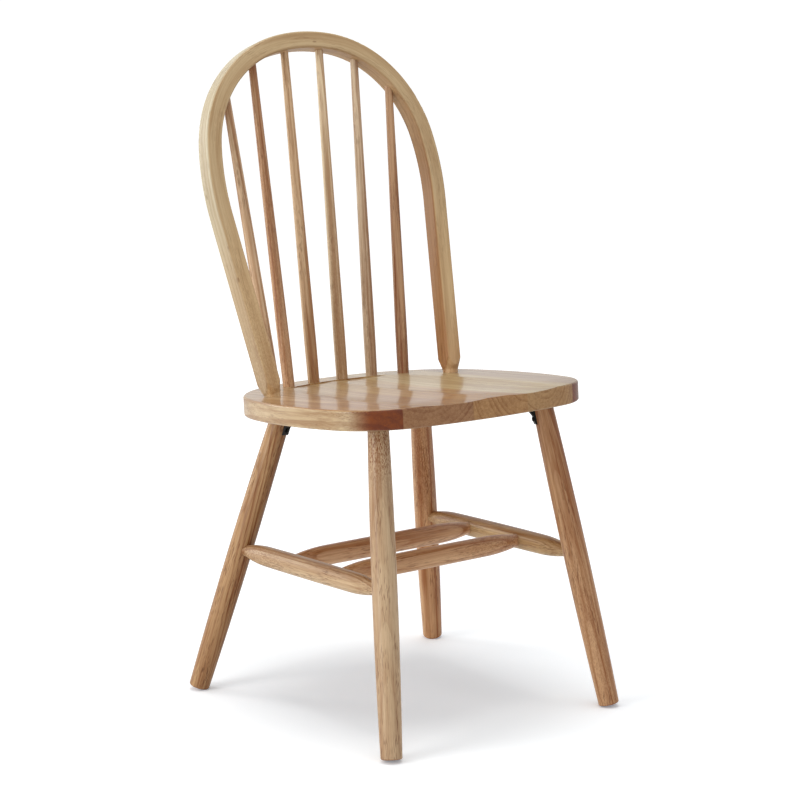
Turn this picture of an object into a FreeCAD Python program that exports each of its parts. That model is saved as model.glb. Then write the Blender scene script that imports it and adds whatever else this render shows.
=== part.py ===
import FreeCAD, Part
import math
import os
from dataclasses import dataclass
from types import SimpleNamespace

import Sketcher

# A bow-back chair of turned and bent wood. Millimetres and degrees, +Z up.
# The chair faces -Y and the origin is on the floor, under the middle of its overall box.
# Right and left are the sitter's: right is -X, left is +X. The two sides mirror each other.
# Plan positions (names ending in _x and _y) are counted from the middle of the four feet.

SIZES = {
    # How far the middle of the feet lies from the origin along Y
    "feet_middle": -19.64,
    # Seat: a slab that slopes down towards the back, measured in its own plane
    "seat_rise": 450.0,
    "seat_slope_angle": 4.8,
    "seat_thickness": 28.0,
    "seat_front": 195.7,
    "seat_back": 226.3,
    "seat_half_width": 215.7,
    "seat_widest_behind": -16.0,
    "seat_front_bend": 692.0,
    "seat_corner_bend": 98.7,
    "seat_side_bend": 471.0,
    "seat_shoulder_bend": 171.5,
    "seat_back_bend": 657.0,
    "seat_edge_round": 3.0,
    # Glue joints between the five boards, counted along X
    "seat_joint_1": -148.5,
    "seat_joint_2": -42.0,
    "seat_joint_3": 54.0,
    "seat_joint_4": 151.0,
    # Saddle: two long shallow scoops that close towards the back and end at a round step
    "scoop_depth": 5.5,
    "scoop_cross_bend": 600.0,
    "scoop_long_bend": 5000.0,
    "scoop_spacing": 50.0,
    "scoop_middle": -10.0,
    "scoop_turn_angle": 5.6,
    "scoop_end_bend": 236.0,
    "scoop_end_middle": -55.0,
    # Legs: the points where their axes meet the floor and the seat's underside
    "front_foot_x": 195.9,
    "front_foot_y": -214.1,
    "front_top_x": 144.8,
    "front_top_y": -119.5,
    "back_foot_x": 218.3,
    "back_foot_y": 214.1,
    "back_top_x": 124.1,
    "back_top_y": 129.9,
    "leg_foot_dia": 29.2,
    "leg_top_dia": 29.0,
    "leg_swell_depth": 2.7,
    "leg_foot_round": 2.5,
    "leg_socket_depth": 20.0,
    "leg_straight_end": 6.0,
    # Stretchers: two side ones between the legs, two cross ones between those
    "side_front_rise": 218.4,
    "side_back_rise": 209.9,
    "side_mid_dia": 29.5,
    "side_taper_dia": 28.7,
    "side_neck_dia": 17.0,
    "side_taper_end": 70.0,
    "cross_front_share": 0.340,
    "cross_back_share": 0.6635,
    "cross_mid_dia": 29.3,
    "cross_taper_dia": 28.8,
    "cross_neck_dia": 18.5,
    "cross_taper_end": 70.0,
    "stretcher_stop": 3.0,
    "neck_straight": 2.2,
    # Bow: bent from one rod, its shape drawn in its own plane, which leans back from the seat
    "bow_foot_x": 160.5,
    "bow_foot_y": 101.7,
    "bow_rake_angle": 17.2,
    "bow_lean_angle": 6.73,
    "bow_post": 259.6,
    "bow_side_bend": 357.3,
    "bow_side_angle": 16.03,
    "bow_shoulder_bend": 173.9,
    "bow_top_bend": 255.9,
    "bow_face": 24.5,
    "bow_depth": 26.5,
    "bow_edge_round": 3.0,
    "bow_tenon_dia": 22.5,
    "bow_shave_dia": 34.0,
    "bow_shave": 18.0,
    "bow_tenon_show": 3.0,
    "bow_socket_depth": 18.0,
    # Spindles: where their axes meet the seat, and where they end inside the bow
    "spindle_outer_x": 116.8,
    "spindle_outer_y": 159.2,
    "spindle_outer_top_x": 146.4,
    "spindle_middle_x": 75.2,
    "spindle_middle_y": 182.3,
    "spindle_middle_top_x": 91.4,
    "spindle_inner_x": 25.7,
    "spindle_inner_y": 189.0,
    "spindle_inner_top_x": 31.1,
    "spindle_foot_dia": 17.0,
    "spindle_belly_dia": 17.6,
    "spindle_belly_rise": 46.0,
    "spindle_shoulder_dia": 17.1,
    "spindle_shoulder_rise": 96.0,
    "spindle_top_dia": 11.4,
    "spindle_socket_depth": 15.0,
    "spindle_top_straight": 18.0,
    # Brackets: pressed steel angles with two side webs, one inboard of each leg. A turn of 0 would
    # face straight across the chair and one of 90 straight along its side
    "front_bracket_turn_angle": 30.0,
    "back_bracket_turn_angle": 69.0,
    "bracket_width": 12.4,
    "bracket_plate": 2.0,
    "bracket_web": 1.5,
    "bracket_drop": 30.0,
    "bracket_beyond_screw": 7.0,
    "bracket_end_straight": 12.0,
    "bracket_waist": 4.6,
    "bracket_waist_drop": 12.5,
    # Screws: eight alike, with pan heads and a cross recess
    "screw_head_dia": 7.0,
    "screw_head_rise": 2.4,
    "screw_shank_dia": 3.5,
    "screw_length": 14.0,
    "screw_point": 4.0,
    "screw_cross_length": 4.0,
    "screw_cross_width": 0.9,
    "screw_cross_depth": 1.2,
    "screw_from_leg": 8.0,
    "screw_point_gap": 1.5,
    "screw_down_leg": 22.0,
    # Room left round a round tenon or a screw, and how far a cutter runs past a surface
    "socket_clearance": 0.1,
    "cutter_overrun": 12.0,
}

SIDES = {"right": -1, "left": 1}
SPINDLES = ["outer", "middle", "inner"]

# How far an edge may stray from a level plane and still count as lying in it
LEVEL_TOLERANCE = 0.01

# How far a leg's seam is turned from its bracket, clear of every hole in the leg
SEAM_TURN = 100


def vector(x, y, z):
    return FreeCAD.Vector(x, y, z)


def make_sheet(doc):
    """Write every driving size into the sheet, one named cell each."""
    sheet = doc.addObject("Spreadsheet::Sheet", "Sizes")
    for row, (name, value) in enumerate(SIZES.items(), start=1):
        sheet.set("A%d" % row, name)
        sheet.set("B%d" % row, str(value))
        sheet.setAlias("B%d" % row, name)
    doc.recompute()
    return sheet


def read_sheet(sheet):
    return SimpleNamespace(**{name: float(sheet.get(name)) for name in SIZES})


# Sketches


@dataclass
class Corner:
    """One corner of a closed outline, with the sizes that hold it and the arc that leaves it."""

    x: float
    y: float
    x_size: str = ""
    y_size: str = ""
    through: tuple = None


def origin_plane(body, role):
    for feature in body.Origin.OriginFeatures:
        if feature.Role == role:
            return feature
    raise ValueError("no plane " + role)


def new_sketch(body, name, role, offset=None):
    sketch = body.newObject("Sketcher::SketchObject", name)
    sketch.AttachmentSupport = [(origin_plane(body, role), "")]
    sketch.MapMode = "FlatFace"
    if offset is not None:
        sketch.AttachmentOffset = offset
    return sketch


def bind(thing, name, text):
    thing.setExpression(name, text.replace("@", "Sizes."))


def hold(sketch, kind, segment, end, value, text):
    """Hold one coordinate of a point from the sketch's origin; a zero one lies on the axis."""
    if value == 0:
        axis = -2 if kind == "DistanceX" else -1
        sketch.addConstraint(Sketcher.Constraint("PointOnObject", segment, end, axis))
        return
    index = sketch.addConstraint(Sketcher.Constraint(kind, -1, 1, segment, end, value))
    if text:
        bind(sketch, "Constraints[%d]" % index, text)


def circle_through(start, through, end):
    """Centre and radius of the circle through three points."""
    ax, ay = start
    bx, by = through
    cx, cy = end
    double_area = 2 * (ax * (by - cy) + bx * (cy - ay) + cx * (ay - by))
    a_sq = ax * ax + ay * ay
    b_sq = bx * bx + by * by
    c_sq = cx * cx + cy * cy
    x = (a_sq * (by - cy) + b_sq * (cy - ay) + c_sq * (ay - by)) / double_area
    y = (a_sq * (cx - bx) + b_sq * (ax - cx) + c_sq * (bx - ax)) / double_area
    return x, y, math.hypot(ax - x, ay - y)


def add_arc(sketch, x, y, radius, start, end):
    """Add the arc that runs anticlockwise from start to end round a centre."""
    low = math.atan2(start[1] - y, start[0] - x)
    high = math.atan2(end[1] - y, end[0] - x)
    if high <= low:
        high += 2 * math.pi
    circle = Part.Circle(vector(x, y, 0), vector(0, 0, 1), radius)
    return sketch.addGeometry(Part.ArcOfCircle(circle, low, high))


def closed_outline(sketch, corners):
    """Draw the closed run of lines and arcs through the corners and hold all of it."""
    ends = []
    for corner, after in zip(corners, corners[1:] + corners[:1]):
        start = (corner.x, corner.y)
        end = (after.x, after.y)
        if corner.through is None:
            line = Part.LineSegment(vector(*start, 0), vector(*end, 0))
            ends.append((sketch.addGeometry(line), 1, 2))
            continue
        x, y, radius = circle_through(start, corner.through, end)
        side = (end[0] - start[0]) * (corner.through[1] - start[1])
        side -= (end[1] - start[1]) * (corner.through[0] - start[0])
        if side < 0:
            index = add_arc(sketch, x, y, radius, start, end)
            ends.append((index, 1, 2))
        else:
            index = add_arc(sketch, x, y, radius, end, start)
            ends.append((index, 2, 1))
        sketch.addConstraint(Sketcher.Constraint("Radius", index, radius))
    for (segment, _, last), (following, first, _) in zip(ends, ends[1:] + ends[:1]):
        sketch.addConstraint(Sketcher.Constraint("Coincident", segment, last, following, first))
    for corner, (segment, first, _) in zip(corners, ends):
        hold(sketch, "DistanceX", segment, first, corner.x, corner.x_size)
        hold(sketch, "DistanceY", segment, first, corner.y, corner.y_size)


# Shared solids


def turned_body(doc, name, corners, placement):
    """A piece turned on its own Z axis from half of its section."""
    body = doc.addObject("PartDesign::Body", name)
    sketch = new_sketch(body, name + "_section", "XZ_Plane")
    closed_outline(sketch, corners)
    turn = body.newObject("PartDesign::Revolution", name + "_turned")
    turn.Profile = sketch
    turn.ReferenceAxis = (sketch, ["V_Axis"])
    turn.Angle = 360
    body.Placement = placement
    sketch.Visibility = False
    return body, turn


def along(start, direction):
    """The placement whose Z axis leaves start in the given direction."""
    return FreeCAD.Placement(start, FreeCAD.Rotation(vector(0, 0, 1), direction))


def round_cutter(doc, name, start, direction, radius_text, length_text):
    """A round hole's volume, from its floor at start out past its mouth."""
    cutter = doc.addObject("Part::Cylinder", name)
    bind(cutter, "Radius", radius_text)
    bind(cutter, "Height", length_text)
    cutter.Placement = along(start, direction)
    return cutter


def cut_away(doc, name, base, cutters):
    """The base less its cutters, as one object."""
    if len(cutters) == 1:
        tool = cutters[0]
    else:
        tool = doc.addObject("Part::MultiFuse", name + "_cutters")
        tool.Shapes = cutters
    cut = doc.addObject("Part::Cut", name)
    cut.Base = base
    cut.Tool = tool
    return cut


# Places that several pieces share


def seat_placement(s):
    """The seat's frame: on its top plane over the middle of the feet, sloping with it."""
    slope = FreeCAD.Rotation(vector(1, 0, 0), -s.seat_slope_angle)
    return FreeCAD.Placement(vector(0, s.feet_middle, s.seat_rise), slope)


def seat_point(s, x, y, under=False):
    """The point of the seat's top plane, or of its underside, over a place in plan."""
    slope = math.radians(s.seat_slope_angle)
    z = s.seat_rise - y * math.tan(slope)
    if under:
        z -= s.seat_thickness / math.cos(slope)
    return vector(x, y + s.feet_middle, z)


def seat_up(s):
    slope = math.radians(s.seat_slope_angle)
    return vector(0, math.sin(slope), math.cos(slope))


def leg_line(s, end, side):
    """A leg's floor point, its top point at the seat's underside, and its direction up."""
    hand = SIDES[side]
    foot_x = getattr(s, end + "_foot_x") * hand
    foot_y = getattr(s, end + "_foot_y") + s.feet_middle
    top_x = getattr(s, end + "_top_x") * hand
    top = seat_point(s, top_x, getattr(s, end + "_top_y"), under=True)
    floor = vector(foot_x, foot_y, 0)
    return floor, top, (top - floor).normalize()


def foot_lift(s, direction):
    """How far up its axis a square-cut foot starts, so that its rounded rim meets the floor."""
    tilt = math.acos(direction.z)
    length = s.seat_rise / direction.z
    swelling = 4 * s.leg_swell_depth * s.leg_foot_round / length
    flat = s.leg_foot_dia / 2 + swelling - s.leg_foot_round
    height = flat * math.sin(tilt) + s.leg_foot_round * (1 - math.cos(tilt))
    return height / direction.z


def point_at_height(start, direction, height):
    return start + direction * ((height - start.z) / direction.z)


def side_stretcher_ends(s, side):
    """The points where a side stretcher's axis meets the axes of its two legs."""
    front_floor, _, front_up = leg_line(s, "front", side)
    back_floor, _, back_up = leg_line(s, "back", side)
    front = point_at_height(front_floor, front_up, s.side_front_rise)
    back = point_at_height(back_floor, back_up, s.side_back_rise)
    return front, back


def cross_stretcher_ends(s, end):
    """The points where a cross stretcher's axis meets the axes of the side stretchers."""
    share = getattr(s, "cross_%s_share" % end)
    points = []
    for side in ("right", "left"):
        front, back = side_stretcher_ends(s, side)
        points.append(front + (back - front) * share)
    return points


def bow_arcs(s):
    """Centres and joints of the bow's centreline, in its own plane, on the left half."""
    lean = math.radians(s.bow_lean_angle)
    turn = lean - math.radians(s.bow_side_angle)
    post_end = (s.bow_foot_x + s.bow_post * math.sin(lean), s.bow_post * math.cos(lean))
    side_centre = (
        post_end[0] - s.bow_side_bend * math.cos(lean),
        post_end[1] + s.bow_side_bend * math.sin(lean),
    )
    side_end = (
        side_centre[0] + s.bow_side_bend * math.cos(turn),
        side_centre[1] - s.bow_side_bend * math.sin(turn),
    )
    shoulder_centre = (
        side_end[0] - s.bow_shoulder_bend * math.cos(turn),
        side_end[1] + s.bow_shoulder_bend * math.sin(turn),
    )
    step = s.bow_top_bend - s.bow_shoulder_bend
    top_centre = (0, shoulder_centre[1] - math.sqrt(step ** 2 - shoulder_centre[0] ** 2))
    reach = s.bow_top_bend / step
    shoulder_end = (
        shoulder_centre[0] * reach,
        top_centre[1] + (shoulder_centre[1] - top_centre[1]) * reach,
    )
    tenon = s.bow_socket_depth
    tenon_end = (s.bow_foot_x - tenon * math.sin(lean), -tenon * math.cos(lean))
    return SimpleNamespace(
        tenon_end=tenon_end,
        post_end=post_end,
        side_centre=side_centre,
        side_end=side_end,
        shoulder_centre=shoulder_centre,
        shoulder_end=shoulder_end,
        top_centre=top_centre,
        top=(0, top_centre[1] + s.bow_top_bend),
    )


def bow_placement(s):
    """The bow's frame: between its feet on the seat, its Z axis up the leaning plane."""
    foot = seat_point(s, 0, s.bow_foot_y)
    return FreeCAD.Placement(foot, FreeCAD.Rotation(vector(1, 0, 0), -s.bow_rake_angle))


def bow_point(s, x):
    """The point of the bow's centreline over one place across the chair."""
    arcs = bow_arcs(s)
    across = abs(x)
    if across < arcs.shoulder_end[0]:
        height = arcs.top_centre[1] + math.sqrt(s.bow_top_bend ** 2 - across ** 2)
    else:
        beyond = across - arcs.shoulder_centre[0]
        height = arcs.shoulder_centre[1] + math.sqrt(s.bow_shoulder_bend ** 2 - beyond ** 2)
    return bow_placement(s).multVec(vector(x, 0, height))


def spindle_line(s, place, side):
    """A spindle's point on the seat's plane, its end inside the bow, and its direction up."""
    hand = SIDES[side]
    x = getattr(s, "spindle_%s_x" % place) * hand
    foot = seat_point(s, x, getattr(s, "spindle_%s_y" % place))
    top = bow_point(s, getattr(s, "spindle_%s_top_x" % place) * hand)
    return foot, top, (top - foot).normalize()


def inboard_turn(s, end, side):
    """The turn that sets Z up a leg's axis and X out of the leg the way its bracket faces."""
    _, _, up = leg_line(s, end, side)
    turn = math.radians(getattr(s, end + "_bracket_turn_angle"))
    to_middle = 1 if end == "front" else -1
    inward = vector(-SIDES[side] * math.cos(turn), to_middle * math.sin(turn), 0)
    out = (inward - up * inward.dot(up)).normalize()
    return FreeCAD.Rotation(out, up.cross(out), up, "ZXY")


def bracket_placement(s, end, side):
    """A bracket's frame, on its leg's axis at the seat's underside."""
    _, top, _ = leg_line(s, end, side)
    return FreeCAD.Placement(top, inboard_turn(s, end, side))


def flange_slope(s, end, side):
    """How fast the seat's underside climbs away from a leg, in its bracket's frame."""
    normal = inboard_turn(s, end, side).inverted().multVec(seat_up(s))
    return -normal.x / normal.z


def leg_radius_below_seat(s, end, side, drop):
    """The leg's radius some way down its axis from the seat's underside."""
    floor, top, up = leg_line(s, end, side)
    length = (top - floor).Length - foot_lift(s, up) - s.leg_straight_end
    share = min(1, max(0, (drop - s.leg_straight_end) / length))
    straight = s.leg_top_dia + (s.leg_foot_dia - s.leg_top_dia) * share
    return straight / 2 + 4 * s.leg_swell_depth * share * (1 - share)


def bracket_leg_face(s, end, side):
    """How far the bracket's back lies from its leg's axis."""
    return leg_radius_below_seat(s, end, side, s.bracket_drop / 2)


def seat_screw_reach(s, end, side):
    """How far from its leg a seat screw stands, so that its point clears the leg's tenon."""
    lean = math.atan(flange_slope(s, end, side))
    approach = s.screw_length * math.sin(lean)
    return max(s.screw_from_leg, approach + s.screw_shank_dia / 2 + s.screw_point_gap)


def screw_places(s, end, side):
    """The undersides of a bracket's two screw heads, and the directions out of the wood."""
    frame = bracket_placement(s, end, side)
    face = bracket_leg_face(s, end, side)
    on_plate = vector(face + s.bracket_plate, 0, -s.screw_down_leg)
    slope = flange_slope(s, end, side)
    reach = face + seat_screw_reach(s, end, side)
    on_flange = vector(reach, 0, slope * reach - s.bracket_plate)
    off_flange = vector(slope, 0, -1).normalize()
    return (
        (frame.multVec(on_plate), frame.Rotation.multVec(vector(1, 0, 0))),
        (frame.multVec(on_flange), frame.Rotation.multVec(off_flange)),
    )


# Seat


def seat_outline(sketch, s):
    """Eight arcs, each running smoothly into the next: front, corners, sides, shoulders, back."""
    front = (0, -s.seat_front + s.seat_front_bend)
    back = (0, s.seat_back - s.seat_back_bend)
    side = (s.seat_half_width - s.seat_side_bend, s.seat_widest_behind)
    corner = meeting_centre(
        front, s.seat_front_bend - s.seat_corner_bend, side, s.seat_side_bend - s.seat_corner_bend
    )
    shoulder = meeting_centre(
        side, s.seat_side_bend - s.seat_shoulder_bend, back, s.seat_back_bend - s.seat_shoulder_bend
    )
    bends = [
        (front, s.seat_front_bend, "@seat_front_bend"),
        (corner, s.seat_corner_bend, "@seat_corner_bend"),
        (side, s.seat_side_bend, "@seat_side_bend"),
        (shoulder, s.seat_shoulder_bend, "@seat_shoulder_bend"),
        (back, s.seat_back_bend, "@seat_back_bend"),
    ]
    mirrored = [((-centre[0], centre[1]), bend, text) for centre, bend, text in bends[3:0:-1]]
    ring = bends + mirrored
    joints = [
        tangent_joint(ring[index], ring[(index + 1) % len(ring)]) for index in range(len(ring))
    ]
    for index, (centre, bend, text) in enumerate(ring):
        start = joints[index - 1]
        add_arc(sketch, centre[0], centre[1], bend, start, joints[index])
    for index, (centre, bend, text) in enumerate(ring):
        after = (index + 1) % len(ring)
        sketch.addConstraint(Sketcher.Constraint("Tangent", index, 2, after, 1))
        radius = sketch.addConstraint(Sketcher.Constraint("Radius", index, bend))
        bind(sketch, "Constraints[%d]" % radius, text)
    hold(sketch, "DistanceX", 0, 3, 0, "")
    hold(sketch, "DistanceY", 0, 3, front[1], "@seat_front_bend - @seat_front")
    hold(sketch, "DistanceX", 4, 3, 0, "")
    hold(sketch, "DistanceY", 4, 3, back[1], "@seat_back - @seat_back_bend")
    hold(sketch, "DistanceX", 2, 3, side[0], "@seat_half_width - @seat_side_bend")
    hold(sketch, "DistanceY", 2, 3, side[1], "@seat_widest_behind")
    hold(sketch, "DistanceX", 6, 3, -side[0], "@seat_side_bend - @seat_half_width")
    hold(sketch, "DistanceY", 6, 3, side[1], "@seat_widest_behind")


def meeting_centre(first, first_reach, second, second_reach):
    """The outermost point at two given distances from two centres."""
    gap_x = second[0] - first[0]
    gap_y = second[1] - first[1]
    gap = math.hypot(gap_x, gap_y)
    share = (first_reach ** 2 - second_reach ** 2 + gap ** 2) / (2 * gap)
    off = math.sqrt(first_reach ** 2 - share ** 2)
    middle_x = first[0] + gap_x * share / gap
    middle_y = first[1] + gap_y * share / gap
    choices = [
        (middle_x + gap_y * off / gap, middle_y - gap_x * off / gap),
        (middle_x - gap_y * off / gap, middle_y + gap_x * off / gap),
    ]
    return max(choices)


def tangent_joint(one, other):
    """The point where two arcs that touch inside each other run together."""
    if one[1] < other[1]:
        one, other = other, one
    (wide_x, wide_y), wide, _ = one
    (tight_x, tight_y), tight, _ = other
    reach = wide / (wide - tight)
    return wide_x + (tight_x - wide_x) * reach, wide_y + (tight_y - wide_y) * reach


def flat_edges(shape, heights):
    """Names of the edges that lie whole in one of the given level planes."""
    names = []
    for number, edge in enumerate(shape.Edges, start=1):
        box = edge.BoundBox
        for height in heights:
            stray = max(abs(box.ZMin - height), abs(box.ZMax - height))
            if stray < LEVEL_TOLERANCE:
                names.append("Edge%d" % number)
    return names


def make_seat_blank(doc, s):
    """The glued-up slab, sawn to its outline, with its edges rounded."""
    body = doc.addObject("PartDesign::Body", "seat_blank")
    sketch = new_sketch(body, "seat_plan", "XY_Plane")
    seat_outline(sketch, s)
    pad = body.newObject("PartDesign::Pad", "seat_slab")
    pad.Profile = sketch
    bind(pad, "Length", "@seat_thickness")
    pad.Reversed = True
    doc.recompute()
    fillet = body.newObject("PartDesign::Fillet", "seat_edges")
    fillet.Base = (pad, flat_edges(pad.Shape, [0, -s.seat_thickness]))
    bind(fillet, "Radius", "@seat_edge_round")
    body.Placement = seat_placement(s)
    return body


def make_scoops(doc, s):
    """The wood that saddling takes out: two long scoops, ended by a round line at the back."""
    frame = seat_placement(s)
    scoops = []
    for side, hand in SIDES.items():
        ring = doc.addObject("Part::Torus", "scoop_ring_" + side)
        bind(ring, "Radius1", "@scoop_long_bend - @scoop_cross_bend")
        bind(ring, "Radius2", "@scoop_cross_bend")
        middle = vector(
            s.scoop_spacing * hand, s.scoop_middle, s.scoop_long_bend - s.scoop_depth
        )
        lay_down = FreeCAD.Rotation(vector(0, 1, 0), 90)
        converge = FreeCAD.Rotation(vector(0, 0, 1), s.scoop_turn_angle * hand)
        ring.Placement = frame.multiply(FreeCAD.Placement(middle, converge.multiply(lay_down)))
        limit = doc.addObject("Part::Cylinder", "scoop_limit_" + side)
        bind(limit, "Radius", "@scoop_end_bend")
        bind(limit, "Height", "@cutter_overrun * 2")
        floor = vector(0, s.scoop_end_middle, -s.cutter_overrun)
        limit.Placement = frame.multiply(FreeCAD.Placement(floor, FreeCAD.Rotation()))
        scoop = doc.addObject("Part::Common", "scoop_" + side)
        scoop.Base = limit
        scoop.Tool = ring
        scoops.append(scoop)
    return scoops


def leg_socket(doc, s, end, side):
    _, top, up = leg_line(s, end, side)
    floor = top + up * s.leg_socket_depth
    radius = "@leg_top_dia / 2 + @socket_clearance"
    length = "@leg_socket_depth + @cutter_overrun"
    return round_cutter(doc, "leg_socket_%s_%s" % (end, side), floor, up * -1, radius, length)


def bow_post_line(s, side):
    """A bow post's point on the seat's plane and its direction up."""
    frame = bow_placement(s)
    hand = SIDES[side]
    lean = math.radians(s.bow_lean_angle)
    foot = frame.multVec(vector(s.bow_foot_x * hand, 0, 0))
    up = frame.Rotation.multVec(vector(math.sin(lean) * hand, 0, math.cos(lean)))
    return foot, up


def bow_socket(doc, s, side):
    foot, up = bow_post_line(s, side)
    floor = foot - up * s.bow_socket_depth
    radius = "@bow_tenon_dia / 2 + @socket_clearance"
    length = "@bow_socket_depth + @cutter_overrun"
    return round_cutter(doc, "bow_socket_" + side, floor, up, radius, length)


def spindle_seat_socket(doc, s, place, side):
    foot, _, up = spindle_line(s, place, side)
    floor = foot - up * s.spindle_socket_depth
    radius = "@spindle_foot_dia / 2 + @socket_clearance"
    length = "@spindle_socket_depth + @cutter_overrun"
    name = "spindle_socket_%s_%s" % (place, side)
    return round_cutter(doc, name, floor, up, radius, length)


def screw_hole(doc, s, name, head, out):
    """The hole that a screw fills, from its point to a little past its head's underside."""
    point = head - out * s.screw_length
    radius = "@screw_shank_dia / 2 + @socket_clearance"
    length = "@screw_length + @bracket_plate"
    return round_cutter(doc, name, point, out, radius, length)


def make_seat(doc, s):
    """Five boards with their grain front to back, glued edge to edge, then sawn and saddled."""
    cutters = make_scoops(doc, s)
    for side in SIDES:
        cutters.append(bow_socket(doc, s, side))
        for place in SPINDLES:
            cutters.append(spindle_seat_socket(doc, s, place, side))
        for end in ("front", "back"):
            cutters.append(leg_socket(doc, s, end, side))
            _, (head, out) = screw_places(s, end, side)
            name = "seat_screw_hole_%s_%s" % (end, side)
            cutters.append(screw_hole(doc, s, name, head, out))
    carved = make_seat_blank(doc, s)
    for number, cutter in enumerate(cutters, start=1):
        carved = cut_away(doc, "seat_carved_%d" % number, carved, [cutter])
    edges = [
        ("-@seat_half_width - @cutter_overrun", -s.seat_half_width - s.cutter_overrun),
        ("@seat_joint_1", s.seat_joint_1),
        ("@seat_joint_2", s.seat_joint_2),
        ("@seat_joint_3", s.seat_joint_3),
        ("@seat_joint_4", s.seat_joint_4),
        ("@seat_half_width + @cutter_overrun", s.seat_half_width + s.cutter_overrun),
    ]
    boards = []
    for number, (low, high) in enumerate(zip(edges, edges[1:]), start=1):
        slab = doc.addObject("Part::Box", "board_blank_%d" % number)
        bind(slab, "Length", "(%s) - (%s)" % (high[0], low[0]))
        bind(slab, "Width", "@seat_front + @seat_back + 2 * @cutter_overrun")
        bind(slab, "Height", "@seat_thickness + 2 * @cutter_overrun")
        corner = vector(
            low[1], -s.seat_front - s.cutter_overrun, -s.seat_thickness - s.cutter_overrun
        )
        slab.Placement = seat_placement(s).multiply(FreeCAD.Placement(corner, FreeCAD.Rotation()))
        board = doc.addObject("Part::Common", "seat_board_%d" % number)
        board.Base = carved
        board.Tool = slab
        boards.append(board)
    return boards


# Legs and stretchers


def make_leg(doc, s, end, side):
    """A turned leg, fullest halfway up, its foot cut square and its top end let into the seat."""
    name = "leg_%s_%s" % (end, side)
    floor, top, up = leg_line(s, end, side)
    lift = foot_lift(s, up)
    length = (top - floor).Length - lift
    foot = s.leg_foot_dia / 2
    neck = s.leg_top_dia / 2
    shoulder = length - s.leg_straight_end
    total = length + s.leg_socket_depth
    fullest = ((foot + neck) / 2 + s.leg_swell_depth, shoulder / 2)
    corners = [
        Corner(0, 0),
        Corner(foot, 0, x_size="@leg_foot_dia / 2", through=fullest),
        Corner(neck, shoulder, x_size="@leg_top_dia / 2"),
        Corner(neck, total, x_size="@leg_top_dia / 2"),
        Corner(0, total),
    ]
    seam_aside = FreeCAD.Rotation(vector(0, 0, 1), SEAM_TURN * SIDES[side])
    place = FreeCAD.Placement(floor + up * lift, inboard_turn(s, end, side).multiply(seam_aside))
    body, turn = turned_body(doc, name + "_turned", corners, place)
    doc.recompute()
    rim = body.newObject("PartDesign::Fillet", name + "_foot_rim")
    rim.Base = (turn, flat_edges(turn.Shape, [0]))
    bind(rim, "Radius", "@leg_foot_round")
    bored = cut_away(doc, name + "_bored", body, [stretcher_socket_in_leg(doc, s, end, side)])
    (head, out), _ = screw_places(s, end, side)
    hole = screw_hole(doc, s, "leg_screw_hole_%s_%s" % (end, side), head, out)
    return cut_away(doc, name, bored, [hole])


def stretcher_socket_in_leg(doc, s, end, side):
    front, back = side_stretcher_ends(s, side)
    start, other = (front, back) if end == "front" else (back, front)
    direction = (other - start).normalize()
    floor = start + direction * s.stretcher_stop
    radius = "@side_neck_dia / 2 + @socket_clearance"
    length = "@leg_top_dia + @cutter_overrun"
    name = "side_socket_%s_%s" % (end, side)
    return round_cutter(doc, name, floor, direction, radius, length)


def tangent_through(start, end, slope):
    """A point on the arc from start to end that arrives at end with the given slope."""
    run = (end[0] - start[0], end[1] - start[1])
    length = math.hypot(*run)
    chord = math.atan2(run[0], run[1])
    turn = chord - math.atan(slope)
    sagitta = length / 2 * math.tan(turn / 2)
    middle = ((start[0] + end[0]) / 2, (start[1] + end[1]) / 2)
    return middle[0] + run[1] / length * sagitta, middle[1] - run[0] / length * sagitta


def stretcher_corners(s, family, length, host_radius):
    """Half the section of a stretcher: slim necks, short tapers and a long gentle barrel."""
    neck = getattr(s, family + "_neck_dia") / 2
    taper = getattr(s, family + "_taper_dia") / 2
    middle = getattr(s, family + "_mid_dia") / 2
    taper_end = getattr(s, family + "_taper_end")
    straight = host_radius + s.neck_straight
    rise = middle - taper
    half = length / 2 - taper_end
    slope = 2 * rise * half / (half ** 2 - rise ** 2)
    bend = tangent_through((neck, straight), (taper, taper_end), slope)
    neck_size = "@%s_neck_dia / 2" % family
    taper_size = "@%s_taper_dia / 2" % family
    far = length - s.stretcher_stop
    return [
        Corner(0, s.stretcher_stop, y_size="@stretcher_stop"),
        Corner(neck, s.stretcher_stop, x_size=neck_size, y_size="@stretcher_stop"),
        Corner(neck, straight, x_size=neck_size, through=bend),
        Corner(taper, taper_end, x_size=taper_size, through=(middle, length / 2)),
        Corner(taper, length - taper_end, x_size=taper_size, through=(bend[0], length - bend[1])),
        Corner(neck, length - straight, x_size=neck_size),
        Corner(neck, far, x_size=neck_size),
        Corner(0, far),
    ]


def make_side_stretcher(doc, s, side):
    """A turned stretcher between the two legs of one side, bored for the cross stretchers."""
    name = "side_stretcher_" + side
    front, back = side_stretcher_ends(s, side)
    direction = (back - front).normalize()
    leg_radius = s.leg_top_dia / 2 + s.leg_swell_depth
    corners = stretcher_corners(s, "side", (back - front).Length, leg_radius)
    body, _ = turned_body(doc, name + "_turned", corners, along(front, direction))
    cutters = []
    for end in ("front", "back"):
        right, left = cross_stretcher_ends(s, end)
        start, other = (right, left) if side == "right" else (left, right)
        inward = (other - start).normalize()
        floor = start + inward * s.stretcher_stop
        radius = "@cross_neck_dia / 2 + @socket_clearance"
        length = "@side_mid_dia / 2 + @cutter_overrun"
        cutter_name = "cross_socket_%s_%s" % (end, side)
        cutters.append(round_cutter(doc, cutter_name, floor, inward, radius, length))
    return cut_away(doc, name, body, cutters)


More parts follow.
